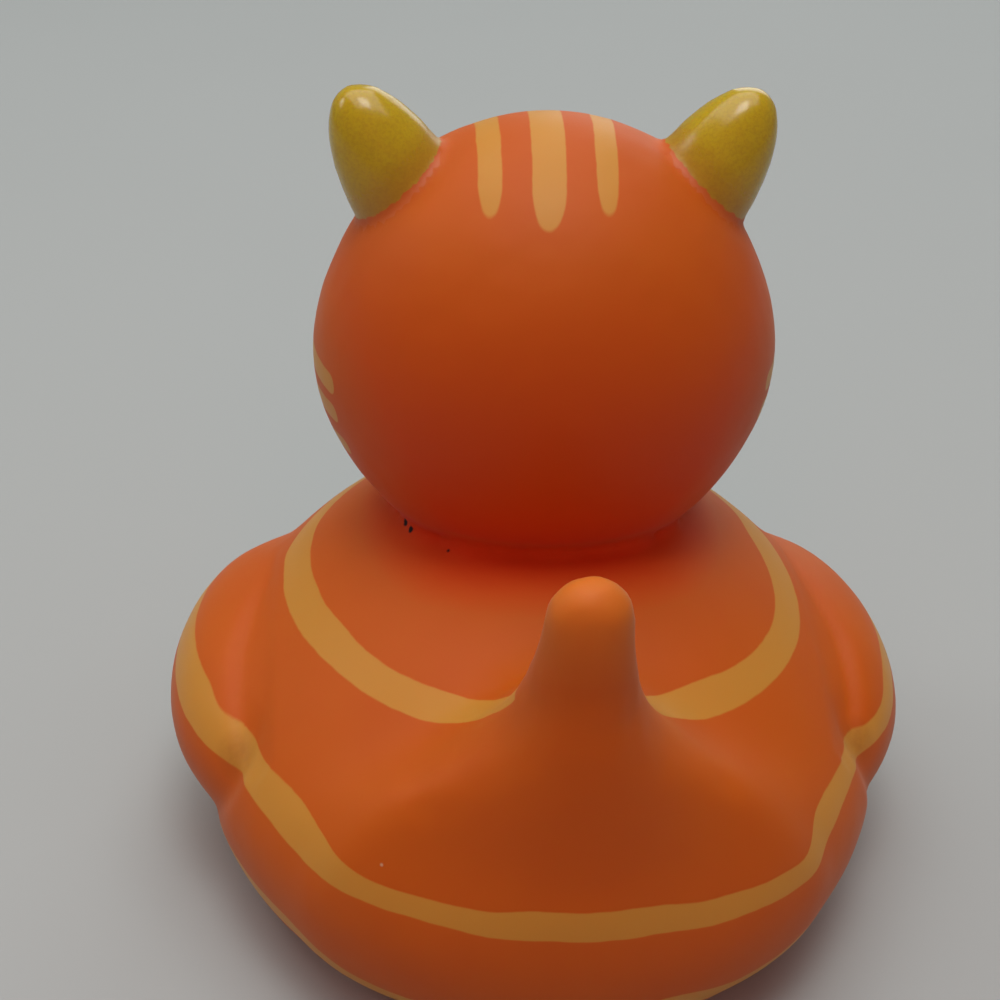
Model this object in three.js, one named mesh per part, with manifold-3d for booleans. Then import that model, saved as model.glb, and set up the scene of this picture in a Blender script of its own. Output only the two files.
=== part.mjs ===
// A bath duck with pointed ears, moulded in one piece of soft vinyl: a hollow shell with a breather hole
// in its flat base. Round masses flow into each other along fillets, as in a modelled clay master.
// Millimetres, +Z up. The duck faces -Y and its left wing is at +X.
import * as THREE from "three";
import { MarchingCubes } from "three/addons/objects/MarchingCubes.js";
import { mergeVertices } from "three/addons/utils/BufferGeometryUtils.js";
import Module from "manifold-3d";

// Hull: the low round mass that floats, widest at the waterline
const HULL_WIDTH = 74.5;
const HULL_CHEST = 36;
const HULL_STERN = 42.1;
const WATERLINE = 13.8;
const HULL_RISE = 20.3;
const HULL_KEEL = 23.6;

// Back: the dome that climbs from the flanks to the neck
const NECK_FORWARD = 8.3;
const BACK_WIDTH = 57.5;
const BACK_CHEST = 27;
const BACK_STERN = 36.4;
const BACK_TOP = 40.8;
const BACK_RISE = 22;
const BACK_FILLET = 10.8;

// Rump: the arched ridge across the stern that carries the tail
const RUMP_WIDTH = 43.2;
const RUMP_THICKNESS = 12;
const RUMP_RISE = 18;
const RUMP_LEAN = 15;
const RUMP_INSET = 13.9;
const RUMP_ABOVE_WATERLINE = 2.4;
const RUMP_FILLET = 6.8;

// Tail: a blunt upright prong
const TAIL_TOP = 53.8;
const TAIL_ROOT_RADIUS = 7.1;
const TAIL_TIP_RADIUS = 3.6;
const TAIL_ROOT_BEHIND_RUMP = 2.8;
const TAIL_SWEEP = 3.3;
const TAIL_ROOT_ABOVE_WATERLINE = 9.8;
const TAIL_FILLET = 10.8;

// Wings: low lobes on the flanks
const WING_PROUD = 3.7;
const WING_THICKNESS = 26.4;
const WING_LENGTH = 45;
const WING_DEPTH = 22.8;
const WING_FORWARD = 5.2;
const WING_ABOVE_WATERLINE = 3.2;
const WING_YAW = 4.3;
const WING_ROLL = 4;
const WING_CREASE = 1.8;

// Head: a full round ball with slightly puffed cheeks, sunk into the neck
const HEAD_WIDTH = 47.6;
const HEAD_LENGTH = 42.4;
const HEAD_HEIGHT = 48.4;
const HEAD_SINK = 8.7;
const NECK_FILLET_INSIDE = 0.5;
const CHEEK_RADIUS = 5.7;
const CHEEK_SPACING = 27.2;
const CHEEK_DROP = 1.4;
const CHEEK_FILLET = 9;

// Bill: an upper and a lower lip, parted by the mouth line
const BILL_WIDTH = 19;
const BILL_REACH = 10;
const BILL_DROP = 5.5;
const UPPER_LIP_THICKNESS = 7.4;
const LOWER_LIP_THICKNESS = 6;
const LOWER_LIP_WIDTH = 15;
const LOWER_LIP_REACH = 8;
const LIP_OVERLAP = 1.7;
const BILL_TILT = 7;

// Ears: blunt cones that lean outwards
const EAR_RADIUS = 5.73;
const EAR_LENGTH = 26.8;
const EAR_SPREAD = 42;
const EAR_TILT = 30;
const EAR_SINK = 3;

// Shell
const WALL = 2.2;
const BREATHER_DIAMETER = 3;
const BASE_EDGE = 6;
const BASE_TRIM = 0.4;

// Fineness of the surface
const TRUNK_CELL = 2.75;
const HEAD_CELL = 3.2;
const LINING_CELL = 4.6;
const GRID = 64;
const RELAX_ROUNDS = 12;
const ROUND_SEGMENTS = 24;

const VINYL_ORANGE = 0xf0682a;

const wasm = await Module();
wasm.setup();

// Fields: distance-like functions, negative inside a mass and positive outside it

const radians = THREE.MathUtils.degToRad;

function smoothMin(a, b, fillet) {
  const share = Math.max(fillet - Math.abs(a - b), 0) / fillet;
  return Math.min(a, b) - (share * share * fillet) / 4;
}

const smoothMax = (a, b, fillet) => -smoothMin(-a, -b, fillet);

function ellipsoid(p, rx, ry, rz) {
  const reach = Math.hypot(p.x / rx, p.y / ry, p.z / rz);
  const slope = Math.hypot(p.x / rx ** 2, p.y / ry ** 2, p.z / rz ** 2);
  return slope > 0 ? (reach * (reach - 1)) / slope : -Math.min(rx, ry, rz);
}

// A cone with round ends, from one centre and radius to another
function roundCone(p, from, to, fromRadius, toRadius) {
  const axis = to.clone().sub(from);
  const length = axis.length();
  axis.divideScalar(length);
  const offset = p.clone().sub(from);
  const along = offset.dot(axis);
  const across = Math.sqrt(Math.max(offset.lengthSq() - along * along, 0));
  const lean = (fromRadius - toRadius) / length;
  const grip = Math.sqrt(1 - lean * lean);
  const foot = THREE.MathUtils.clamp(along + (across * lean) / grip, 0, length);
  const radius = fromRadius + ((toRadius - fromRadius) * foot) / length;
  return Math.hypot(across, along - foot) - radius;
}

// A frame that turns points into the axes of a mass with a place and angles of its own
function frameAt(x, y, z, turnX = 0, turnY = 0, turnZ = 0) {
  const place = new THREE.Object3D();
  place.position.set(x, y, z);
  place.rotation.set(radians(turnX), radians(turnY), radians(turnZ), "ZYX");
  place.updateMatrixWorld();
  return place.matrixWorld.clone().invert();
}

const within = (p, frame) => p.clone().applyMatrix4(frame);
const mirrored = (p) => new THREE.Vector3(Math.abs(p.x), p.y, p.z);

const hullFrame = frameAt(0, 0, WATERLINE);

function hull(point) {
  const p = within(point, hullFrame);
  return ellipsoid(p, HULL_WIDTH / 2, p.y > 0 ? HULL_STERN : HULL_CHEST, p.z > 0 ? HULL_RISE : HULL_KEEL);
}

const backFrame = frameAt(0, -NECK_FORWARD, BACK_TOP - BACK_RISE);

function back(point) {
  const p = within(point, backFrame);
  return ellipsoid(p, BACK_WIDTH / 2, p.y > 0 ? BACK_STERN : BACK_CHEST, BACK_RISE);
}

const rumpY = HULL_STERN - RUMP_INSET;
const rumpFrame = frameAt(0, rumpY, WATERLINE + RUMP_ABOVE_WATERLINE, -RUMP_LEAN);

function rump(point) {
  return ellipsoid(within(point, rumpFrame), RUMP_WIDTH / 2, RUMP_THICKNESS / 2, RUMP_RISE);
}

const tailRoot = new THREE.Vector3(0, rumpY + TAIL_ROOT_BEHIND_RUMP, WATERLINE + TAIL_ROOT_ABOVE_WATERLINE);
const tailTip = new THREE.Vector3(0, tailRoot.y + TAIL_SWEEP, TAIL_TOP - TAIL_TIP_RADIUS);

const tail = (point) => roundCone(point, tailRoot, tailTip, TAIL_ROOT_RADIUS, TAIL_TIP_RADIUS);

const wingX = HULL_WIDTH / 2 + WING_PROUD - WING_THICKNESS / 2;
const wingFrame = frameAt(
  wingX,
  -WING_FORWARD,
  WATERLINE + WING_ABOVE_WATERLINE,
  0,
  WING_ROLL,
  -WING_YAW,
);

function wing(point) {
  const p = within(mirrored(point), wingFrame);
  return ellipsoid(p, WING_THICKNESS / 2, WING_LENGTH / 2, WING_DEPTH / 2);
}

const headZ = BACK_TOP - HEAD_SINK + HEAD_HEIGHT / 2;
const headMiddle = new THREE.Vector3(0, -NECK_FORWARD, headZ);
const headFrame = frameAt(...headMiddle);
const cheekFrame = frameAt(CHEEK_SPACING / 2, -NECK_FORWARD, headZ - CHEEK_DROP);

function head(point) {
  const ball = ellipsoid(within(point, headFrame), HEAD_WIDTH / 2, HEAD_LENGTH / 2, HEAD_HEIGHT / 2);
  const cheek = within(mirrored(point), cheekFrame).length() - CHEEK_RADIUS;
  return smoothMin(ball, cheek, CHEEK_FILLET);
}

// Everything below the head, down to the rounded edge of the base
function trunk(p) {
  let mass = smoothMin(hull(p), back(p), BACK_FILLET);
  mass = smoothMin(mass, rump(p), RUMP_FILLET);
  mass = smoothMin(mass, tail(p), TAIL_FILLET);
  mass = smoothMin(mass, wing(p), WING_CREASE);
  return smoothMax(mass, -p.z - BASE_TRIM, BASE_EDGE);
}

// The hollow inside, a wall's thickness away from the outer skin and from the base
function hollow(p) {
  const inside = smoothMin(trunk(p), head(p), NECK_FILLET_INSIDE) + WALL;
  return smoothMax(inside, WALL - p.z, BASE_EDGE);
}

// Surfaces

// Moves a vertex down the slope of a field until it lies on the surface
function settle(field, p, step) {
  for (let round = 0; round < 3; round++) {
    const slope = new THREE.Vector3();
    for (const axis of ["x", "y", "z"]) {
      const ahead = p.clone();
      const behind = p.clone();
      ahead[axis] += step;
      behind[axis] -= step;
      slope[axis] = (field(ahead) - field(behind)) / (2 * step);
    }
    p.addScaledVector(slope, -field(p) / Math.max(slope.lengthSq(), 0.1));
  }
}

// Evens out the triangles: each vertex goes to the middle of its neighbours and back onto the surface
function relax(geometry, field, step) {
  const position = geometry.attributes.position;
  const neighbours = Array.from({ length: position.count }, () => new Set());
  const corners = geometry.index.array;
  for (let i = 0; i < corners.length; i += 3) {
    for (let k = 0; k < 3; k++) {
      neighbours[corners[i + k]].add(corners[i + ((k + 1) % 3)]);
      neighbours[corners[i + ((k + 1) % 3)]].add(corners[i + k]);
    }
  }
  const points = neighbours.map((_, i) => new THREE.Vector3().fromBufferAttribute(position, i));
  for (let round = 0; round < RELAX_ROUNDS; round++) {
    const middles = neighbours.map((near) => {
      const middle = new THREE.Vector3();
      near.forEach((j) => middle.add(points[j]));
      return middle.divideScalar(near.size);
    });
    points.forEach((p, i) => {
      p.copy(middles[i]);
      settle(field, p, step);
    });
  }
  points.forEach((p, i) => position.setXYZ(i, p.x, p.y, p.z));
}

// The closed surface where a field is zero, as an even triangle mesh with shared vertices
function skin(field, cell) {
  const reach = (cell * GRID) / 2;
  const middle = new THREE.Vector3(0, 0, headZ / 2);
  const cubes = new MarchingCubes(GRID, undefined, false, false, GRID * GRID * 8);
  cubes.isolation = 0;
  const p = new THREE.Vector3();
  for (let i = 0; i < GRID ** 3; i++) {
    const column = i % GRID;
    const row = Math.floor(i / GRID) % GRID;
    const layer = Math.floor(i / GRID ** 2);
    p.set(column, row, layer).multiplyScalar(cell).addScalar(-reach).add(middle);
    cubes.field[i] = -field(p);
  }
  cubes.update();
  const corners = cubes.geometry.attributes.position.array.slice(0, 3 * cubes.count);
  const soup = new THREE.BufferGeometry();
  soup.setAttribute("position", new THREE.BufferAttribute(corners, 3));
  const geometry = mergeVertices(soup, 1e-6);
  geometry.scale(reach, reach, reach).translate(middle.x, middle.y, middle.z);
  relax(geometry, field, cell / 100);
  return geometry;
}

// Solids

// A closed geometry with shared vertices as a solid that can be joined and cut
function solid(geometry) {
  const shape = geometry.clone();
  shape.deleteAttribute("normal");
  shape.deleteAttribute("uv");
  const merged = mergeVertices(shape, 1e-5);
  return new wasm.Manifold(
    new wasm.Mesh({
      numProp: 3,
      vertProperties: new Float32Array(merged.attributes.position.array),
      triVerts: new Uint32Array(merged.index.array),
    }),
  );
}

function geometryOf(body) {
  const mesh = body.getMesh();
  const geometry = new THREE.BufferGeometry();
  geometry.setAttribute("position", new THREE.BufferAttribute(mesh.vertProperties, 3));
  geometry.setIndex(new THREE.BufferAttribute(mesh.triVerts, 1));
  geometry.computeVertexNormals();
  return geometry;
}

// A round lobe with its own half sizes, turned by an angle about one axis and moved to its place
function lobe(rx, ry, rz, turn, place) {
  const geometry = new THREE.SphereGeometry(1, ROUND_SEGMENTS, ROUND_SEGMENTS / 2);
  geometry.rotateX(Math.PI / 2).scale(rx, ry, rz);
  geometry.applyQuaternion(turn).translate(place.x, place.y, place.z);
  return solid(geometry);
}

const turned = (axis, degrees) => new THREE.Quaternion().setFromAxisAngle(axis, radians(degrees));
const X_AXIS = new THREE.Vector3(1, 0, 0);
const Y_AXIS = new THREE.Vector3(0, 1, 0);

// One ear, on the side given by its sign: a blunt cone with its root inside the head
function ear(side) {
  const spread = radians(EAR_SPREAD);
  const surface = 1 / Math.hypot((2 * Math.sin(spread)) / HEAD_WIDTH, (2 * Math.cos(spread)) / HEAD_HEIGHT);
  const seat = surface - EAR_SINK;
  const place = new THREE.Vector3(side * Math.sin(spread), 0, Math.cos(spread)).multiplyScalar(seat);
  place.add(headMiddle);
  return lobe(EAR_RADIUS, EAR_RADIUS, EAR_LENGTH / 2, turned(Y_AXIS, side * EAR_TILT), place);
}

// The two lips, one above the other on the face, with the mouth line between them
function bill() {
  const mouth = headMiddle.clone().add(new THREE.Vector3(0, -HEAD_LENGTH / 2, -BILL_DROP));
  const above = mouth.clone().setZ(mouth.z + UPPER_LIP_THICKNESS / 2 - LIP_OVERLAP);
  const below = mouth.clone().setZ(mouth.z - LOWER_LIP_THICKNESS / 2 + LIP_OVERLAP);
  const upper = lobe(BILL_WIDTH / 2, BILL_REACH, UPPER_LIP_THICKNESS / 2, turned(X_AXIS, -BILL_TILT), above);
  const lower = lobe(LOWER_LIP_WIDTH / 2, LOWER_LIP_REACH, LOWER_LIP_THICKNESS / 2, turned(X_AXIS, 0), below);
  return upper.add(lower);
}

// What the flat base takes away
function underBase() {
  const side = 2 * (HULL_WIDTH + HULL_CHEST + HULL_STERN);
  return solid(new THREE.BoxGeometry(side, side, side).translate(0, 0, -side / 2));
}

function breather() {
  const bore = new THREE.CylinderGeometry(BREATHER_DIAMETER / 2, BREATHER_DIAMETER / 2, 4 * WALL, ROUND_SEGMENTS);
  return solid(bore.rotateX(Math.PI / 2));
}

const shell = solid(skin(trunk, TRUNK_CELL))
  .add(solid(skin(head, HEAD_CELL)))
  .add(ear(1))
  .add(ear(-1))
  .add(bill())
  .subtract(underBase())
  .subtract(solid(skin(hollow, LINING_CELL)))
  .subtract(breather());

const geometry = geometryOf(shell);
geometry.computeBoundingBox();
const middle = geometry.boundingBox.getCenter(new THREE.Vector3());
geometry.translate(-middle.x, -middle.y, 0);

const vinyl = new THREE.MeshStandardMaterial({ color: VINYL_ORANGE, roughness: 0.55, metalness: 0 });
const duckShell = new THREE.Mesh(geometry, vinyl);
duckShell.name = "duck_shell";

const group = new THREE.Group();
group.add(duckShell);

export default group;
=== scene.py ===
"""Rubber duck: one hollow moulding of orange vinyl with sprayed stripes and painted ears, bill and eyes."""

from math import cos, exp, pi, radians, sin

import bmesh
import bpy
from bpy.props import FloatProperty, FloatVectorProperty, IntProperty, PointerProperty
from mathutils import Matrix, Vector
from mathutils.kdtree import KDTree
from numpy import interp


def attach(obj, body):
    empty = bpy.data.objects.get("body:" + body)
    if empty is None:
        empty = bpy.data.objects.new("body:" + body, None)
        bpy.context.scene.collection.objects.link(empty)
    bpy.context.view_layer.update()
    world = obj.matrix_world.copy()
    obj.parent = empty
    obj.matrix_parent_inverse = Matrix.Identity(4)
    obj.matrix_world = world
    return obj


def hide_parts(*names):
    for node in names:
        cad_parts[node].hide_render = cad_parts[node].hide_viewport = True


bl_info = {
    "name": "Rubber Duck",
    "version": (1, 0, 0),
    "blender": (4, 5, 0),
    "location": "View3D > Sidebar > Duck",
    "description": "Dresses the packed duck shell in painted vinyl and sets it on a plain stage",
    "category": "Object",
}

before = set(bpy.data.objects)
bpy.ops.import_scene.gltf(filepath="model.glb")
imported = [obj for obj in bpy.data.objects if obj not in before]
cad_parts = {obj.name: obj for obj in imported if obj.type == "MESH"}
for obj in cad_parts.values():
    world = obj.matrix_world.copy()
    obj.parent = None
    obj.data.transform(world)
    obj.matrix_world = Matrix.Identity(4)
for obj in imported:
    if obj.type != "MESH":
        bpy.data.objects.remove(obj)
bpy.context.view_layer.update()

MM = 0.001

# Places on the moulding, in millimetres
HEAD_MIDDLE = (0.0, -9.53, 56.3)
HEAD_RADII = (23.83, 21.15, 24.21)
EAR_MIDDLE = (14.15, -9.53, 71.91)
EAR_RADIUS = 5.73
EAR_HALF_LENGTH = 13.39
EAR_TILT = 30.0
EAR_LOW = 67.0
GLOSS_MARGIN = 0.2
EYE_MIDDLE = (8.8, 60.0)
EYE_RADII = (2.3, 3.1)
FACE_FRONT = -20.0
BILL_BACK = -25.5
BILL_HEIGHT = 50.7
BILL_RADII = (10.1, 6.0)

# Stripe edges round the trunk: degrees from the tail, wing side +X positive, then millimetres.
# The collar stripe is measured out from the middle of the duck, the other two up from the base.
COLLAR_INSIDE = (
    (-180, 25.6), (-150, 26.4), (-121, 26.3), (-106, 25.0), (-88, 24.9), (-70, 24.5), (-50, 23.7),
    (-32, 23.0), (-21, 23.7), (-15, 25.0),
    (-10, 27.2), (0, 29.0), (10, 27.2), (15, 25.0), (21, 23.7), (34, 22.9), (63, 22.9), (86, 24.0),
    (106, 26.0), (125, 27.6), (150, 26.8), (180, 25.6),
)
COLLAR_OUTSIDE = (
    (-180, 28.2), (-150, 29.4), (-122, 29.6), (-101, 28.5), (-84, 27.8), (-62, 27.0), (-42, 26.5),
    (-26, 26.4), (-18, 27.6),
    (-13, 30.0), (-9, 31.5), (0, 32.0), (9, 31.5), (13, 30.0), (18, 27.6), (27, 26.2), (56, 25.7),
    (79, 26.6), (100, 28.4), (118, 30.1), (150, 29.8), (180, 28.2),
)
FLANK_LOW = (
    (-180, 20.4), (-120, 20.6), (-89, 20.7), (-74, 19.5), (-59, 19.7), (-47, 19.0), (-36, 17.5), (-21, 17.7),
    (-9, 18.9), (3, 19.3), (14, 18.7), (28, 18.7), (42, 18.9), (54, 19.4), (68, 19.8), (86, 20.4), (120, 20.6),
    (180, 20.4),
)
FLANK_HIGH = (
    (-180, 23.4), (-120, 23.4), (-89, 23.2), (-71, 21.5), (-59, 21.8), (-46, 21.9), (-36, 19.8), (-20, 20.3),
    (-7, 22.0), (4, 22.2), (14, 21.1), (27, 20.8), (40, 22.0), (50, 22.7), (65, 22.4), (87, 24.2), (120, 23.6),
    (180, 23.4),
)
KEEL_HIGH = (
    (-180, 10.2), (-90, 10.6), (-45, 10.0), (-28, 8.0), (-12, 10.0), (5, 9.2), (28, 7.2), (47, 10.2), (90, 10.6),
    (180, 10.2),
)
KEEL_STRIPE_WIDTH = 2.8
COLLAR_HEIGHTS = (25.0, 39.5)
CURVE_CEILING = 40.0
STRIPE_EDGE = 0.09

# Crown stripes: sideways place at the top and at the back end, half width, then the degrees from the top of the
# head where the end starts to round and where it stops, behind and in front
CROWN_STRIPES = (
    (6.7, 7.1, 1.15, 14.0, 32.0, -20.0, -34.0),
    (0.9, 1.7, 1.65, 18.0, 37.5, -26.0, -44.0),
    (-4.8, -4.0, 1.1, 14.0, 33.0, -20.0, -34.0),
)

# Cheek stripes: tip behind (back-forward, height), half width, length forward and rise over that length
CHEEK_STRIPES = (
    ((-1.6, 55.2), 1.15, 11.0, 1.2),
    ((-1.9, 51.8), 1.1, 11.5, 0.4),
    ((-2.0, 48.0), 1.0, 10.0, -0.6),
)
CHEEK_INSIDE = 13.0

# Marks of handling: place, radius
DARK_SPECKS = (((14.8, -2.7, 38.6), 0.41), ((14.3, -1.2, 38.6), 0.38), ((10.5, 3.3, 38.6), 0.22))
PALE_SPECKS = (((18.1, 33.0, 22.6), 0.15),)
# Middle of the painted shade in the notch at the back end of each wing
WING_NOTCH = (32.7, 13.8, 21.0)
# Height of the neck crease, then the painted shade round it, redder and darker vinyl in place of shade and red
# bounce light: its top, low edge and strength
NECK_HEIGHT = 39.0
NECK_SHADE_TOP = 72.0
NECK_SHADE_LOW = 36.0
NECK_SHADE_STRENGTH = 0.8

# Ramps of the painted shade at the neck: reach from the middle of the head on the back and overall, and sideways on
# the head
BACK_SHADE_REACH = (23.5, 17.0)
SHADE_REACH = (28.0, 25.0)
SHADE_SIDE = (24.0, 9.0)

# Tail tip, where light is painted: heights and back-forward places over which the vinyl is painted paler for the
# light falling on its top
TIP_HEIGHTS = (44.0, 53.0)
TIP_PLACES = (22.0, 26.0)

# Paint edges: how far the ear paint stands clear of the head, its spread, the thin paint's height, the bill's gap
EAR_PAINT_GAP = 0.5
EAR_PAINT_SPREAD = 0.5
EAR_ROOT_HEIGHT = 3.8
EAR_ROOT_STRENGTH = 0.6
BILL_PAINT_GAP = 0.25
# Painted shade in the wing notch: radius and softness; then the softness of the specks
NOTCH_SHADE_RADIUS = 1.6
NOTCH_SHADE_SOFTNESS = 1.5
SPECK_SOFTNESS = 0.08

# Wing: middle, half sizes and turn of its oval, and the groove pressed round it, which fades above a height
WING_MIDDLE = (27.75, -6.4, 17.0)
WING_RADII = (13.2, 22.5, 11.4)
WING_YAW = 4.3
GROOVE_HIGH = 22.0
GROOVE_OUT = 0.7
GROOVE_WIDTH = 0.75

# Crease on top of the wing: back-forward and sideways places, and how far in the wing starts to sink
WING_CREASE = ((-16, 28.6), (-8, 29.8), (-3, 31.0), (2.5, 32.2), (7.5, 32.4), (11, 32.2), (15, 31.8))
CREASE_START = 28.6
CREASE_BOW = 3.6
CREASE_WIDTH = 1.2

# Folds below this height, at the neck, are smoothed like the rest
FOLD_LOW = 44.0

# Tail: where it starts, and the heights between which its swell comes in
TAIL_FRONT = 18.0
TAIL_SWELL_LOW = 36.0
TAIL_SWELL_FULL = 43.0


class DuckMould(bpy.types.PropertyGroup):
    """Skin of the moulding"""

    grain: FloatProperty(
        name="Grain", description="Edge length of the evened-out skin", default=0.0007, min=0.0004, unit="LENGTH")
    fold_angle: FloatProperty(
        name="Fold angle", description="An inward fold sharper than this stays crisp",
        default=radians(24), subtype="ANGLE")
    fold_margin: FloatProperty(
        name="Fold margin", description="Width beside a fold that is only lightly smoothed",
        default=0.0009, unit="LENGTH")
    tail_swell: FloatProperty(
        name="Tail swell", description="Fullness added round the upper tail", default=0.00042, unit="LENGTH")
    groove: FloatProperty(
        name="Wing groove", description="Depth of the groove round each wing", default=0.0005, unit="LENGTH")
    crease: FloatProperty(
        name="Wing crease", description="Depth of the crease on top of each wing", default=0.0008, unit="LENGTH")
    smooth_rounds: IntProperty(
        name="Smoothing", description="Rounds of smoothing away from the folds", default=16, min=0)


class DuckPaint(bpy.types.PropertyGroup):
    """Colours and finish of the vinyl and its paint"""

    vinyl: FloatVectorProperty(
        name="Vinyl", description="Orange of the vinyl", default=(0.51, 0.095, 0.001), subtype="COLOR")
    vinyl_deep: FloatVectorProperty(
        name="Deep vinyl", description="Deeper patches of the vinyl", default=(0.49, 0.086, 0.001), subtype="COLOR")
    # Painted shade and bounce light: redder, darker vinyl along the neck crease and low on the back of the head
    vinyl_neck_shade: FloatVectorProperty(
        name="Neck shade", description="Painted shade and bounce light: redder vinyl round the neck", default=(0.60, 0.022, 0.0005), subtype="COLOR")
    # Painted light: paler vinyl on the top of the tail, standing in for the light falling on it
    lit_tail_tip: FloatVectorProperty(
        name="Tail tip", description="Painted light: paler vinyl on the lit top of the tail",
        default=(0.60, 0.15, 0.012), subtype="COLOR")
    stripe: FloatVectorProperty(
        name="Stripe", description="Peach paint of the stripes", default=(0.53, 0.235, 0.028), subtype="COLOR")
    ear: FloatVectorProperty(
        name="Ear", description="Yellow paint of ears and bill", default=(0.46, 0.325, 0.002), subtype="COLOR")
    ear_speckle: FloatVectorProperty(
        name="Ear speckle", description="Darker grain in the yellow paint",
        default=(0.40, 0.265, 0.003), subtype="COLOR")
    ear_root: FloatVectorProperty(
        name="Ear root", description="Thin paint where an ear meets the head",
        default=(0.33, 0.11, 0.002), subtype="COLOR")
    eye: FloatVectorProperty(
        name="Eye", description="Black paint of the eyes", default=(0.006, 0.005, 0.005), subtype="COLOR")
    # Painted shade: a dark, ragged patch in the notch at the back end of each wing
    notch_shade: FloatVectorProperty(
        name="Notch shade", description="Painted shade in the wing notch", default=(0.17, 0.045, 0.008), subtype="COLOR")
    pale_speck: FloatVectorProperty(
        name="Pale speck", description="Lint on the vinyl", default=(0.55, 0.30, 0.17), subtype="COLOR")
    vinyl_roughness: FloatProperty(
        name="Vinyl roughness", description="Matt vinyl", default=0.56, min=0, max=1, subtype="FACTOR")
    stripe_roughness: FloatProperty(
        name="Stripe roughness", description="Satin stripe paint", default=0.46, min=0, max=1, subtype="FACTOR")
    gloss_roughness: FloatProperty(
        name="Gloss roughness", description="Gloss paint of ears, bill and eyes",
        default=0.2, min=0, max=1, subtype="FACTOR")


class DuckStage(bpy.types.PropertyGroup):
    """Camera, lamps and floor"""

    floor: FloatVectorProperty(
        name="Floor", description="Pale floor", default=(0.37, 0.397, 0.388), subtype="COLOR")
    aim: FloatVectorProperty(
        name="Aim", description="Point at the middle of the picture", default=(0.00483, -0.00233, 0.0414),
        subtype="TRANSLATION")
    azimuth: FloatProperty(
        name="Azimuth", description="Turn of the camera round the duck", default=radians(174.52), subtype="ANGLE")
    elevation: FloatProperty(
        name="Elevation", description="Height of the camera as an angle", default=radians(30), subtype="ANGLE")
    roll: FloatProperty(
        name="Roll", description="Tilt of the picture", default=radians(2.06), subtype="ANGLE")
    distance: FloatProperty(
        name="Distance", description="From the aim to the camera", default=0.1908, unit="LENGTH")
    view_angle: FloatProperty(
        name="View angle", description="Width of the view", default=radians(31), subtype="ANGLE")
    overhead_power: FloatProperty(
        name="Overhead lamp", description="Soft lamp above", default=6.0, subtype="POWER")
    side_power: FloatProperty(
        name="Side lamp", description="Weak lamp at the side", default=0.7, subtype="POWER")
    glint_power: FloatProperty(
        name="Glint lamp", description="Small lamp that shows in the gloss paint", default=0.9, subtype="POWER")
    fill_power: FloatProperty(
        name="Warm fill", description="Weak warm lamp on the camera side", default=3.3, subtype="POWER")
    fill_colour: FloatVectorProperty(
        name="Fill colour", description="Colour of the warm fill", default=(1.0, 0.2, 0.1), subtype="COLOR")
    front_power: FloatProperty(
        name="Front fill", description="Weak lamp before the face", default=1.2, subtype="POWER")
    sky: FloatVectorProperty(
        name="Room light", description="Even light of the room", default=(0.19, 0.21, 0.215), subtype="COLOR")


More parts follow.
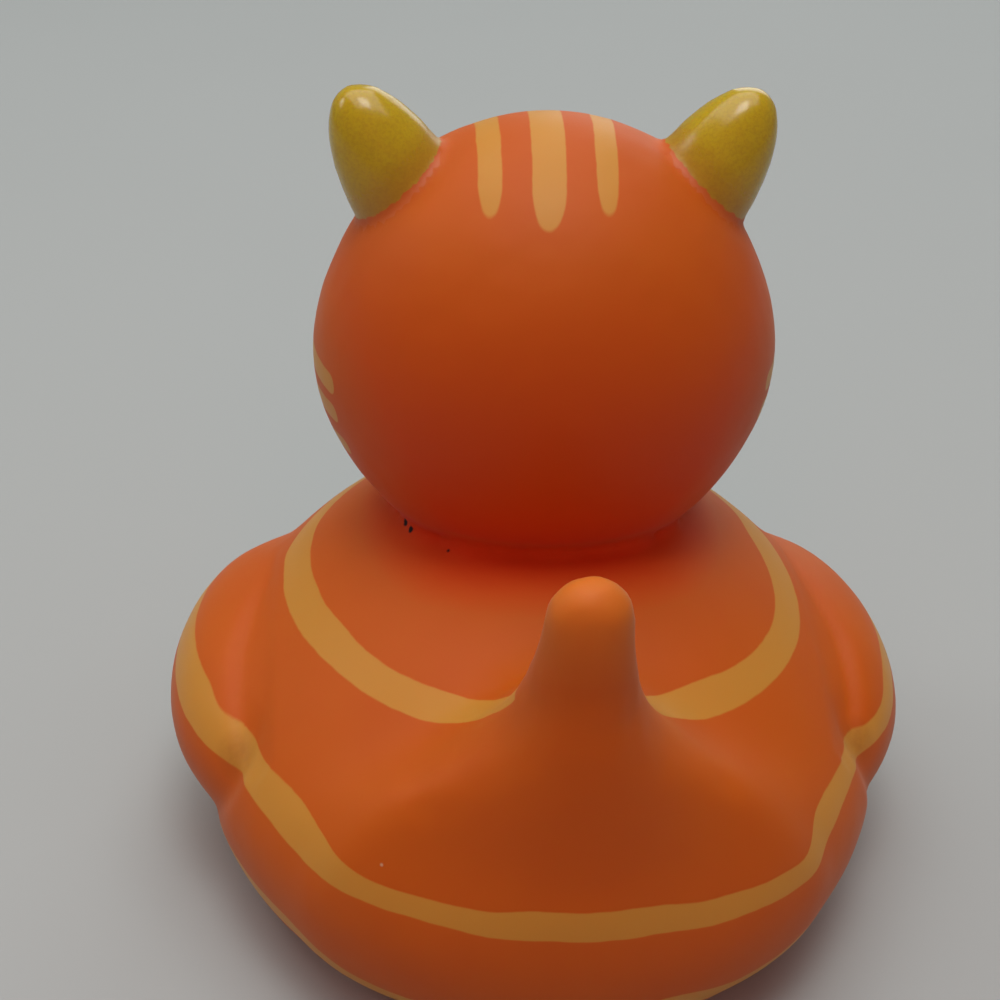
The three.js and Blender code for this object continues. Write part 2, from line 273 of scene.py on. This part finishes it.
class Finish:
    """Lays out the nodes of one material. Each method returns the socket that carries its result."""

    def __init__(self, name):
        self.material = bpy.data.materials.new(name)
        self.material.use_nodes = True
        self.tree = self.material.node_tree
        self.tree.nodes.clear()

    def node(self, kind, **settings):
        made = self.tree.nodes.new(kind)
        for key, value in settings.items():
            setattr(made, key, value)
        return made

    def feed(self, socket, value):
        if isinstance(value, bpy.types.NodeSocket):
            self.tree.links.new(value, socket)
        elif socket.type == "RGBA":
            socket.default_value = (*value, 1.0)
        else:
            socket.default_value = value

    def sum(self, operation, *values):
        made = self.node("ShaderNodeMath", operation=operation)
        for socket, value in zip(made.inputs, values):
            self.feed(socket, value)
        return made.outputs[0]

    def least(self, *values):
        result = values[0]
        for value in values[1:]:
            result = self.sum("MINIMUM", result, value)
        return result

    def most(self, *values):
        result = values[0]
        for value in values[1:]:
            result = self.sum("MAXIMUM", result, value)
        return result

    def length(self, *parts):
        squares = [self.sum("MULTIPLY", part, part) for part in parts]
        total = squares[0]
        for square in squares[1:]:
            total = self.sum("ADD", total, square)
        return self.sum("SQRT", total)

    def ramp(self, value, start, stop):
        """0 up to start, 1 from stop."""
        made = self.node("ShaderNodeMapRange", clamp=True)
        for key, number in (("Value", value), ("From Min", start), ("From Max", stop)):
            self.feed(made.inputs[key], number)
        return made.outputs["Result"]

    def noise(self, place, scale, detail=2.0, roughness=0.5):
        made = self.node("ShaderNodeTexNoise")
        for key, value in (("Vector", place), ("Scale", scale), ("Detail", detail), ("Roughness", roughness)):
            self.feed(made.inputs[key], value)
        return made.outputs["Fac"]

    def curve(self, turn, points, ceiling):
        """Height of a line drawn through points of (degrees, millimetres), read at a turn from 0 to 1."""
        made = self.node("ShaderNodeFloatCurve")
        line = made.mapping.curves[0]
        spots = [((degrees + 180) / 360, height / ceiling) for degrees, height in points]
        line.points[0].location = spots[0]
        line.points[1].location = spots[-1]
        for spot in spots[1:-1]:
            line.points.new(*spot)
        for point in line.points:
            point.handle_type = "AUTO_CLAMPED"
        made.mapping.update()
        self.feed(made.inputs["Value"], turn)
        return self.sum("MULTIPLY", made.outputs[0], ceiling)

    def mix(self, share, below, above):
        """Colour above laid over colour below."""
        made = self.node("ShaderNodeMix", data_type="RGBA", clamp_factor=True)
        self.feed(made.inputs["Factor"], share)
        self.feed(made.inputs[6], below)
        self.feed(made.inputs[7], above)
        return made.outputs[2]

    def blend(self, share, below, above):
        """Number above laid over number below."""
        made = self.node("ShaderNodeMix", data_type="FLOAT", clamp_factor=True)
        for socket, value in zip(made.inputs[:4], (share, None, below, above)):
            if value is not None:
                self.feed(socket, value)
        return made.outputs[0]

    def millimetres(self):
        """Place on the piece in millimetres, with its three parts."""
        place = self.node("ShaderNodeTexCoord")
        scaled = self.node("ShaderNodeVectorMath", operation="SCALE")
        self.feed(scaled.inputs[0], place.outputs["Object"])
        self.feed(scaled.inputs["Scale"], 1 / MM)
        parts = self.node("ShaderNodeSeparateXYZ")
        self.feed(parts.inputs[0], scaled.outputs[0])
        return scaled.outputs[0], parts.outputs["X"], parts.outputs["Y"], parts.outputs["Z"]

    def spot(self, place, middle, radius, softness):
        """A round mark, 1 inside and 0 outside."""
        gap = self.node("ShaderNodeVectorMath", operation="DISTANCE")
        self.feed(gap.inputs[0], place)
        self.feed(gap.inputs[1], middle)
        return self.ramp(gap.outputs["Value"], radius + softness, radius - softness)

    def close(self, shader):
        """Ends the material in its output."""
        output = self.node("ShaderNodeOutputMaterial")
        self.feed(output.inputs["Surface"], shader.outputs[0])
        return self.material


def trunk_stripes(skin, x, y, z, waver):
    """Depth inside the three stripes that run round the trunk."""
    turn = skin.sum("ARCTAN2", x, y)
    turn = skin.sum("MULTIPLY_ADD", turn, 0.5 / pi, 0.5)
    reach = skin.length(x, y)
    collar = skin.least(
        skin.sum("SUBTRACT", reach, skin.curve(turn, COLLAR_INSIDE, CURVE_CEILING)),
        skin.sum("SUBTRACT", skin.curve(turn, COLLAR_OUTSIDE, CURVE_CEILING), reach),
        skin.sum("SUBTRACT", z, COLLAR_HEIGHTS[0]),
        skin.sum("SUBTRACT", COLLAR_HEIGHTS[1], z))
    flank = skin.least(
        skin.sum("SUBTRACT", z, skin.curve(turn, FLANK_LOW, CURVE_CEILING)),
        skin.sum("SUBTRACT", skin.curve(turn, FLANK_HIGH, CURVE_CEILING), z))
    keel_high = skin.curve(turn, KEEL_HIGH, CURVE_CEILING)
    keel_low = skin.sum("SUBTRACT", keel_high, KEEL_STRIPE_WIDTH)
    keel = skin.least(skin.sum("SUBTRACT", z, keel_low), skin.sum("SUBTRACT", keel_high, z))
    return skin.sum("ADD", skin.most(collar, flank, keel), waver)


def bar_depth(skin, across, half_width, *ends):
    """Depth inside a bar with oval ends; each end is 0 along the bar and 1 at its tip."""
    end = skin.most(0.0, *ends)
    end = skin.sum("MULTIPLY", end, end)
    side = skin.sum("DIVIDE", across, half_width)
    return skin.sum("MULTIPLY", skin.sum("SUBTRACT", 1.0, skin.length(side, end)), half_width)


def share_of(skin, value, start, stop):
    """How far value has gone from start to stop, also beyond them."""
    return skin.sum("DIVIDE", skin.sum("SUBTRACT", value, start), stop - start)


def crown_stripes(skin, x, y, z, waver):
    """Depth inside the three stripes over the top of the head."""
    back = skin.sum("SUBTRACT", y, HEAD_MIDDLE[1])
    up = skin.sum("SUBTRACT", z, HEAD_MIDDLE[2])
    lean = skin.sum("DEGREES", skin.sum("ARCTAN2", back, up))
    bars = []
    for at_top, at_end, half_width, round_back, stop_back, round_front, stop_front in CROWN_STRIPES:
        middle = skin.sum("MULTIPLY_ADD", lean, (at_end - at_top) / stop_back, at_top)
        bars.append(bar_depth(
            skin, skin.sum("SUBTRACT", x, middle), half_width,
            share_of(skin, lean, round_back, stop_back), share_of(skin, lean, round_front, stop_front)))
    return skin.sum("ADD", skin.most(*bars), waver)


def cheek_stripes(skin, side, y, z, waver):
    """Depth inside the three stripes on each cheek."""
    bars = []
    for (tip_y, tip_z), half_width, length, rise in CHEEK_STRIPES:
        ahead = skin.sum("SUBTRACT", tip_y, y)
        middle = skin.sum("MULTIPLY_ADD", ahead, rise / length, tip_z)
        bars.append(bar_depth(
            skin, skin.sum("SUBTRACT", z, middle), half_width,
            share_of(skin, ahead, 1.4, 0.0), share_of(skin, ahead, length * 0.35, length)))
    depth = skin.sum("ADD", skin.most(*bars), waver)
    return skin.least(depth, skin.sum("SUBTRACT", side, CHEEK_INSIDE))


def proud_of_head(skin, x, y, z):
    """Distance outside the round of the head."""
    parts = [skin.sum("DIVIDE", skin.sum("SUBTRACT", value, middle), radius)
             for value, middle, radius in zip((x, y, z), HEAD_MIDDLE, HEAD_RADII)]
    return skin.sum("MULTIPLY_ADD", skin.length(*parts), HEAD_RADII[0], -HEAD_RADII[0])


def ear_depth(skin, side, y, z):
    """Depth inside the oval of either ear."""
    out = skin.sum("SUBTRACT", side, EAR_MIDDLE[0])
    back = skin.sum("SUBTRACT", y, EAR_MIDDLE[1])
    up = skin.sum("SUBTRACT", z, EAR_MIDDLE[2])
    lean, stand = sin(radians(EAR_TILT)), cos(radians(EAR_TILT))
    along = skin.sum("ADD", skin.sum("MULTIPLY", out, lean), skin.sum("MULTIPLY", up, stand))
    across = skin.sum("SUBTRACT", skin.sum("MULTIPLY", out, stand), skin.sum("MULTIPLY", up, lean))
    reach = skin.length(
        skin.sum("DIVIDE", across, EAR_RADIUS), skin.sum("DIVIDE", back, EAR_RADIUS),
        skin.sum("DIVIDE", along, EAR_HALF_LENGTH))
    return skin.sum("MULTIPLY_ADD", reach, -EAR_RADIUS, EAR_RADIUS)


def painted_vinyl(name, paint, gleam, sheen):
    """Matt orange vinyl with satin stripes and gloss ears, bill and eyes.

    Gleam is the strength of the mirror light and sheen that of the pale bloom at the rims.
    """
    skin = Finish(name)
    place, x, y, z = skin.millimetres()
    side = skin.sum("ABSOLUTE", x)
    waver = skin.sum("MULTIPLY_ADD", skin.noise(place, 0.35), 0.24, -0.12)
    ragged = skin.sum("MULTIPLY_ADD", skin.noise(place, 1.1, 3.0), 1.2, -0.6)
    patches = skin.ramp(skin.noise(place, 0.06), 0.35, 0.65)
    grain = skin.noise(place, 3.2, 3.0, 0.65)

    stripe = skin.most(
        trunk_stripes(skin, x, y, z, waver), crown_stripes(skin, x, y, z, waver),
        cheek_stripes(skin, side, y, z, waver))
    stripe = skin.ramp(stripe, -STRIPE_EDGE, STRIPE_EDGE)
    proud = proud_of_head(skin, x, y, z)
    ear = skin.least(
        skin.sum("ADD", ear_depth(skin, side, y, z), EAR_PAINT_SPREAD),
        skin.sum("ADD", proud, skin.sum("MULTIPLY_ADD", ragged, 0.55, -EAR_PAINT_GAP)))
    bill_reach = skin.length(
        skin.sum("DIVIDE", x, BILL_RADII[0]),
        skin.sum("DIVIDE", skin.sum("SUBTRACT", z, BILL_HEIGHT), BILL_RADII[1]))
    bill = skin.least(
        skin.sum("SUBTRACT", proud, BILL_PAINT_GAP), skin.sum("SUBTRACT", BILL_BACK, y),
        skin.sum("MULTIPLY_ADD", bill_reach, -BILL_RADII[1], BILL_RADII[1]))
    gloss = skin.ramp(skin.most(ear, bill), -0.06, 0.06)
    eye = skin.least(
        bar_depth(
            skin, skin.sum("SUBTRACT", side, EYE_MIDDLE[0]), EYE_RADII[0],
            skin.sum("SQRT", skin.sum(
                "DIVIDE", skin.sum("ABSOLUTE", skin.sum("SUBTRACT", z, EYE_MIDDLE[1])), EYE_RADII[1]))),
        skin.sum("SUBTRACT", FACE_FRONT, y))
    eye = skin.ramp(eye, -0.05, 0.05)

    colour = skin.mix(patches, paint.vinyl, paint.vinyl_deep)
    # Painted shade and bounce light: the vinyl is made redder and darker along the neck crease and low on the back
    # of the head
    reach = skin.length(x, skin.sum("SUBTRACT", y, HEAD_MIDDLE[1]))
    under = skin.least(
        skin.ramp(z, NECK_SHADE_LOW, NECK_HEIGHT), skin.ramp(z, NECK_HEIGHT + 5, NECK_HEIGHT + 1),
        skin.ramp(reach, *BACK_SHADE_REACH))
    neck = skin.least(
        skin.ramp(z, NECK_SHADE_TOP, NECK_HEIGHT), skin.ramp(reach, *SHADE_REACH),
        skin.most(under, skin.least(skin.ramp(z, NECK_HEIGHT, NECK_HEIGHT + 3), skin.ramp(side, *SHADE_SIDE))))
    colour = skin.mix(skin.sum("MULTIPLY", neck, NECK_SHADE_STRENGTH), colour, paint.vinyl_neck_shade)
    # Painted light: the top of the tail is made paler, standing in for the light that falls on it
    tip = skin.least(skin.ramp(z, *TIP_HEIGHTS), skin.ramp(y, *TIP_PLACES))
    colour = skin.mix(tip, colour, paint.lit_tail_tip)
    colour = skin.mix(stripe, colour, paint.stripe)
    # Painted shade: a dark, ragged patch in the notch at the back end of each wing stands in for the shade in that
    # crease
    notch = skin.node("ShaderNodeCombineXYZ")
    for socket, value in zip(notch.inputs, (side, y, z)):
        skin.feed(socket, value)
    notch_shade = skin.spot(notch.outputs[0], WING_NOTCH, NOTCH_SHADE_RADIUS, NOTCH_SHADE_SOFTNESS)
    notch_shade = skin.sum("MULTIPLY", notch_shade, skin.sum("MULTIPLY_ADD", ragged, 0.4, 0.45))
    colour = skin.mix(notch_shade, colour, paint.notch_shade)
    speckle = skin.ramp(grain, 0.42, 0.66)
    yellow = skin.mix(speckle, paint.ear, paint.ear_speckle)
    root = skin.ramp(skin.sum("ADD", proud, skin.sum("MULTIPLY", ragged, 0.8)), EAR_ROOT_HEIGHT, 0.0)
    yellow = skin.mix(skin.sum("MULTIPLY", root, EAR_ROOT_STRENGTH), yellow, paint.ear_root)
    colour = skin.mix(gloss, colour, yellow)
    colour = skin.mix(eye, colour, paint.eye)
    dark = skin.most(*[skin.spot(place, middle, radius, SPECK_SOFTNESS) for middle, radius in DARK_SPECKS])
    colour = skin.mix(dark, colour, paint.eye)
    pale = skin.most(*[skin.spot(place, middle, radius, SPECK_SOFTNESS) for middle, radius in PALE_SPECKS])
    colour = skin.mix(pale, colour, paint.pale_speck)

    rough = skin.blend(stripe, paint.vinyl_roughness, paint.stripe_roughness)
    polish = skin.sum("MULTIPLY_ADD", root, 0.2, paint.gloss_roughness)
    rough = skin.blend(skin.most(gloss, eye), rough, polish)
    rough = skin.sum("ADD", rough, skin.sum("MULTIPLY_ADD", grain, 0.08, -0.04))
    rough = skin.sum("MULTIPLY_ADD", under, 0.3, rough)

    bump = skin.node("ShaderNodeBump")
    skin.feed(bump.inputs["Strength"], 0.12)
    skin.feed(bump.inputs["Distance"], 0.05 * MM)
    skin.feed(bump.inputs["Height"], grain)
    vinyl = skin.node("ShaderNodeBsdfPrincipled", subsurface_method="RANDOM_WALK")
    for key, value in (
            ("Base Color", colour), ("Roughness", rough), ("Normal", bump.outputs[0]),
            ("Specular IOR Level", gleam), ("Subsurface Weight", 0.2), ("Subsurface Scale", 1.2 * MM),
            ("Subsurface Radius", (1.0, 0.25, 0.08)), ("Sheen Weight", sheen), ("Sheen Roughness", 0.35)):
        skin.feed(vinyl.inputs[key], value)
    return skin.close(vinyl)


def floor_paper(stage):
    """Plain pale floor with a faint tooth."""
    paper = Finish("floor_paper")
    place, *_ = paper.millimetres()
    shade = paper.ramp(paper.noise(place, 0.012, 3.0), 0.2, 0.8)
    colour = paper.mix(shade, stage.floor, [0.985 * part for part in stage.floor])
    surface = paper.node("ShaderNodeBsdfPrincipled")
    for key, value in (("Base Color", colour), ("Roughness", 0.8), ("Specular IOR Level", 0.1)):
        paper.feed(surface.inputs[key], value)
    return paper.close(surface)


def folds(bm, angle):
    """Search tree of the middles of the inward folds above the neck: ear roots and mouth."""
    middles = [
        (edge.verts[0].co + edge.verts[1].co) / 2 for edge in bm.edges
        if len(edge.link_faces) == 2 and edge.calc_face_angle_signed(0.0) < -angle
        and edge.verts[0].co.z > FOLD_LOW * MM]
    tree = KDTree(len(middles))
    for index, middle in enumerate(middles):
        tree.insert(middle, index)
    tree.balance()
    return tree


def evened(mesh, grain):
    """The mesh made anew from small even quads."""
    blank = bpy.data.objects.new("blank", mesh)
    bpy.context.scene.collection.objects.link(blank)
    remesh = blank.modifiers.new("even", "REMESH")
    remesh.mode = "VOXEL"
    remesh.voxel_size = grain
    depsgraph = bpy.context.evaluated_depsgraph_get()
    result = bpy.data.meshes.new_from_object(blank.evaluated_get(depsgraph))
    bpy.data.objects.remove(blank)
    return result


def press_wing_groove(bm, depth):
    """Sinks the skin just outside each wing's oval."""
    bm.normal_update()
    turn = Matrix.Rotation(radians(WING_YAW), 3, "Z")
    moves = []
    for vert in bm.verts:
        spot = vert.co / MM
        spot.x = abs(spot.x)
        spot = turn @ (spot - Vector(WING_MIDDLE))
        reach = Vector(part / radius for part, radius in zip(spot, WING_RADII))
        slope = Vector(part / radius for part, radius in zip(reach, WING_RADII)).length
        gap = reach.length * (reach.length - 1) / slope
        press = exp(-((gap - GROOVE_OUT) / GROOVE_WIDTH) ** 2)
        press *= min(max((GROOVE_HIGH + 3 - vert.co.z / MM) / 3, 0.0), 1.0)
        if press > 0.01 and vert.normal.z > -0.5:
            moves.append((vert, vert.normal * -depth * press))
    for vert, move in moves:
        vert.co += move


def press_wing_crease(bm, depth):
    """Sinks the inner edge of each wing's top down to a crease that bows outward."""
    bm.normal_update()
    places, lines = zip(*WING_CREASE)
    moves = []
    for vert in bm.verts:
        side, back, up = abs(vert.co.x) / MM, vert.co.y / MM, vert.co.z / MM
        if places[0] < back < places[-1] + 3 and up > GROOVE_HIGH - 2 and vert.normal.z > 0 and side > 20:
            line = interp(back, places, lines)
            bow = line - CREASE_START
            inside = side - CREASE_START
            if side < line:
                share = max(inside, 0.0) / max(bow, 0.3)
            else:
                share = exp(-(((side - line) / CREASE_WIDTH) ** 2))
            rise = min(max((up - GROOVE_HIGH + 2) / 3, 0.0), 1.0)
            press = depth * min(share, 1.0) * min(bow / CREASE_BOW, 1.0) * rise
            moves.append((vert, vert.normal * -press))
    for vert, move in moves:
        vert.co += move


def swell_tail(bm, swell):
    """Widens the upper tail sideways."""
    for vert in bm.verts:
        if vert.co.y > TAIL_FRONT * MM:
            share = (vert.co.z / MM - TAIL_SWELL_LOW) / (TAIL_SWELL_FULL - TAIL_SWELL_LOW)
            vert.co.x += vert.normal.x * swell * min(max(share, 0.0), 1.0)


def is_gloss(spot):
    """Whether a spot in millimetres lies on the gloss paint of an ear, the bill or an eye."""
    side = abs(spot.x)
    lean = Matrix.Rotation(radians(-EAR_TILT), 3, "Y")
    ear = lean @ (Vector((side, spot.y, spot.z)) - Vector(EAR_MIDDLE))
    reach = Vector((ear.x / EAR_RADIUS, ear.y / EAR_RADIUS, ear.z / EAR_HALF_LENGTH)).length
    on_ear = spot.z > EAR_LOW and (reach - 1) * EAR_RADIUS < GLOSS_MARGIN
    head = Vector((part - middle) / radius for part, middle, radius in zip(spot, HEAD_MIDDLE, HEAD_RADII)).length
    bill = Vector((side / BILL_RADII[0], (spot.z - BILL_HEIGHT) / BILL_RADII[1])).length
    on_bill = spot.y < BILL_BACK and bill < 1 and (head - 1) * HEAD_RADII[0] > 0
    eye = Vector(((side - EYE_MIDDLE[0]) / EYE_RADII[0], (spot.z - EYE_MIDDLE[1]) / EYE_RADII[1])).length
    return on_ear or on_bill or (spot.y < FACE_FRONT and eye < 1.2)


def moulded_skin(node, mould):
    """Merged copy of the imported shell, evened and smoothed, with its folds left crisp."""
    bm = bmesh.new()
    bm.from_mesh(node.data)
    bmesh.ops.remove_doubles(bm, verts=bm.verts, dist=1e-6)
    tree = folds(bm, mould.fold_angle)
    mesh = bpy.data.meshes.new("duck_body")
    bm.to_mesh(mesh)
    bm.free()
    mesh = evened(mesh, mould.grain)
    bm = bmesh.new()
    bm.from_mesh(mesh)
    gaps = {vert: tree.find(vert.co)[2] for vert in bm.verts}
    rounds = ((0.0, 2), (mould.fold_margin, mould.smooth_rounds // 2), (2 * mould.fold_margin, mould.smooth_rounds))
    for margin, count in rounds:
        verts = [vert for vert, gap in gaps.items() if gap >= margin]
        for factor in (0.5, -0.52) * count:
            bmesh.ops.smooth_vert(
                bm, verts=verts, factor=factor, use_axis_x=True, use_axis_y=True, use_axis_z=True)
    press_wing_groove(bm, mould.groove)
    press_wing_crease(bm, mould.crease)
    bm.normal_update()
    swell_tail(bm, mould.tail_swell)
    for face in bm.faces:
        face.smooth = True
        face.material_index = int(is_gloss(face.calc_center_median() / MM))
    bm.to_mesh(mesh)
    bm.free()
    mesh.name = "duck_body"
    return mesh


class DUCK_OT_body(bpy.types.Operator):
    """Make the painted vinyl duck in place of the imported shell"""

    bl_idname = "duck.body"
    bl_label = "Duck Body"

    def execute(self, context):
        scene = context.scene
        mesh = moulded_skin(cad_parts["duck_shell"], scene.duck_mould)
        body = bpy.data.objects.new("duck_body", mesh)
        scene.collection.objects.link(body)
        mesh.materials.append(painted_vinyl("matt_vinyl", scene.duck_paint, 0.23, 0.06))
        mesh.materials.append(painted_vinyl("gloss_paint", scene.duck_paint, 0.5, 0.0))
        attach(body, "root")
        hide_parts("duck_shell")
        return {"FINISHED"}


def area_lamp(scene, name, place, aim, size, power, colour=(1.0, 1.0, 1.0)):
    """A square soft lamp that points at aim."""
    lamp = bpy.data.lights.new(name, "AREA")
    lamp.size = size
    lamp.energy = power
    lamp.color = colour
    stand = bpy.data.objects.new(name, lamp)
    stand.location = place
    stand.rotation_euler = (Vector(aim) - Vector(place)).to_track_quat("-Z", "Y").to_euler()
    scene.collection.objects.link(stand)
    return stand


def photo_camera(scene, stage):
    """Camera behind and above the duck, slightly rolled."""
    turn, rise = stage.azimuth, stage.elevation
    back = Vector((sin(turn) * cos(rise), -cos(turn) * cos(rise), sin(rise)))
    right = Vector((0, 0, 1)).cross(back).normalized()
    up = back.cross(right)
    axes = Matrix((right, up, back)).transposed() @ Matrix.Rotation(stage.roll, 3, "Z")
    lens = bpy.data.cameras.new("camera")
    lens.sensor_fit = "HORIZONTAL"
    lens.angle = stage.view_angle
    lens.clip_start = 0.005
    camera = bpy.data.objects.new("camera", lens)
    camera.matrix_world = Matrix.Translation(Vector(stage.aim) + back * stage.distance) @ axes.to_4x4()
    scene.collection.objects.link(camera)
    scene.camera = camera


class DUCK_OT_stage(bpy.types.Operator):
    """Lay the floor and set the lamps and the camera"""

    bl_idname = "duck.stage"
    bl_label = "Stage"

    def execute(self, context):
        scene = context.scene
        stage = scene.duck_stage
        bm = bmesh.new()
        bmesh.ops.create_grid(bm, x_segments=4, y_segments=4, size=3.0)
        mesh = bpy.data.meshes.new("floor")
        bm.to_mesh(mesh)
        bm.free()
        mesh.materials.append(floor_paper(stage))
        floor = bpy.data.objects.new("floor", mesh)
        scene.collection.objects.link(floor)
        area_lamp(scene, "overhead_lamp", (0.05, -0.15, 0.85), (0.0, 0.0, 0.05), 1.0, stage.overhead_power)
        area_lamp(scene, "glint_lamp", (0.0, 0.12, 0.7), (0.0, 0.0, 0.05), 0.22, stage.glint_power)
        area_lamp(scene, "side_lamp", (0.7, -0.2, 0.5), (0.0, 0.0, 0.06), 0.25, stage.side_power)
        area_lamp(scene, "front_fill", (-0.3, -0.8, 0.35), (0.0, 0.0, 0.05), 0.5, stage.front_power)
        fill = area_lamp(
            scene, "warm_fill", (0.1, 1.0, 0.75), (0.0, 0.0, 0.05), 0.8, stage.fill_power, stage.fill_colour)
        fill.visible_glossy = False
        world = bpy.data.worlds.new("room")
        world.use_nodes = True
        world.node_tree.nodes["Background"].inputs["Color"].default_value = (*stage.sky, 1.0)
        scene.world = world
        scene.view_settings.view_transform = "Standard"
        photo_camera(scene, stage)
        return {"FINISHED"}


class DUCK_PT_panel(bpy.types.Panel):
    """Duck tools"""

    bl_label = "Rubber Duck"
    bl_idname = "DUCK_PT_panel"
    bl_space_type = "VIEW_3D"
    bl_region_type = "UI"
    bl_category = "Duck"

    def draw(self, context):
        scene = context.scene
        for operator, group in ((DUCK_OT_body, scene.duck_mould), (None, scene.duck_paint),
                                (DUCK_OT_stage, scene.duck_stage)):
            box = self.layout.box()
            if operator:
                box.operator(operator.bl_idname)
            for name in group.__annotations__:
                box.prop(group, name)


CLASSES = (DuckMould, DuckPaint, DuckStage, DUCK_OT_body, DUCK_OT_stage, DUCK_PT_panel)


def register():
    for cls in CLASSES:
        bpy.utils.register_class(cls)
    bpy.types.Scene.duck_mould = PointerProperty(type=DuckMould)
    bpy.types.Scene.duck_paint = PointerProperty(type=DuckPaint)
    bpy.types.Scene.duck_stage = PointerProperty(type=DuckStage)


def unregister():
    del bpy.types.Scene.duck_stage
    del bpy.types.Scene.duck_paint
    del bpy.types.Scene.duck_mould
    for cls in reversed(CLASSES):
        bpy.utils.unregister_class(cls)


def main():
    register()
    bpy.ops.duck.stage()
    bpy.ops.duck.body()


if __name__ == "__main__":
    main()
